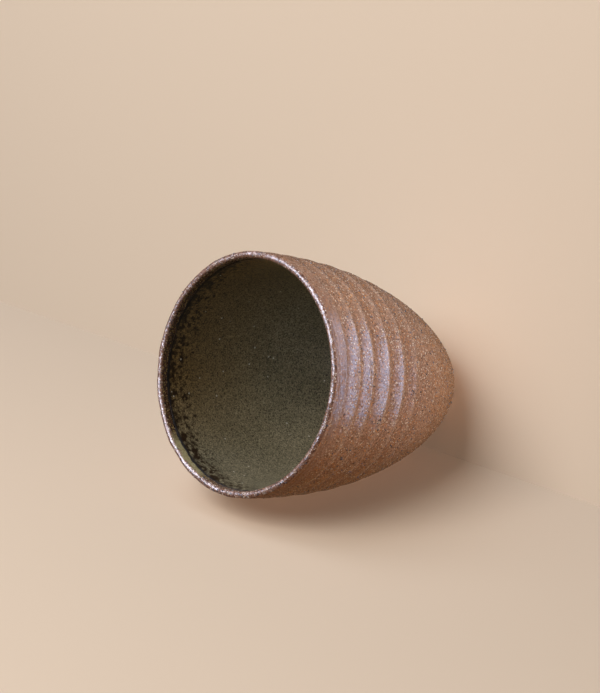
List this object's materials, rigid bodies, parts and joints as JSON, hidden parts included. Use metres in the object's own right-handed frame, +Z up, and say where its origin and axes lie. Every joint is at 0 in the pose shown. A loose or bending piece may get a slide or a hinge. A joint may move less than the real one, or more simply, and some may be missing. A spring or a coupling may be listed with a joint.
{
  "type": "wine cup",
  "caption": "Stemless stoneware wine cup with a ribbed bullet-shaped wall, a rounded lip, a small flat foot and a glazed inside, for drinking.",
  "frame": {"origin": "middle of the flat foot, on the surface that the cup stands on", "axes": "+Z up along the cup's own axis, from the foot to the mouth; round about Z, so X and Y are alike"},
  "size_m": [0.0842, 0.0842, 0.1],
  "materials": {
    "stoneware": "bare fired clay, gritty",
    "ash_glaze": "semi-gloss olive ash glaze"
  },
  "bodies": {
    "root": {"clay_body": "stoneware", "glaze_lining": "ash_glaze"}
  },
  "joints": []
}
